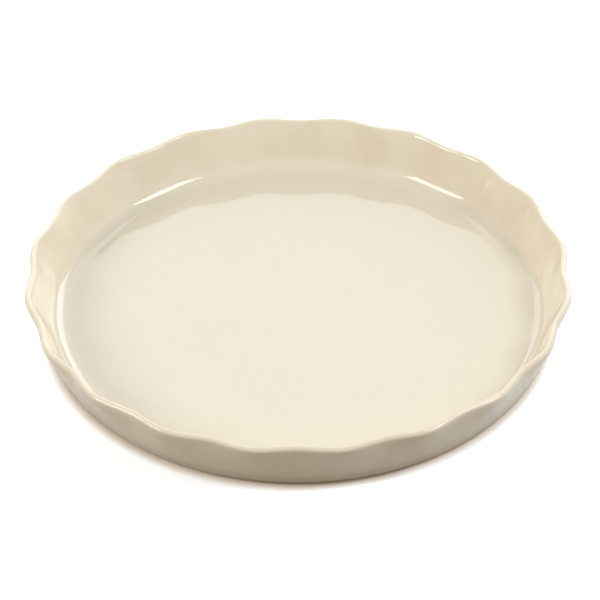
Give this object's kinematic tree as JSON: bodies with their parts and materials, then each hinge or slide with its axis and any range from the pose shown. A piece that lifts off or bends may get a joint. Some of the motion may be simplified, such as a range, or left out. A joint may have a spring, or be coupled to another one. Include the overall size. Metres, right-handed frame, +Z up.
{
  "type": "fluted pie dish",
  "caption": "Round shallow baking dish of cream-glazed stoneware with a wavy fluted wall, a rounded rim and a low bare foot ring, for pies, tarts and quiches.",
  "frame": {"origin": "on the table, under the centre of the dish", "axes": "+Z up along the dish's axis; X and Y each pass through a hollow between two flute crests at the rim"},
  "size_m": [0.2768, 0.2768, 0.031],
  "materials": {
    "biscuit": "unglazed fired stoneware, matt and slightly gritty",
    "glaze": "smooth glossy cream glaze"
  },
  "bodies": {
    "root": {"stoneware_body": "biscuit", "glaze_coat": "glaze", "underside_glaze": "glaze"}
  },
  "joints": []
}
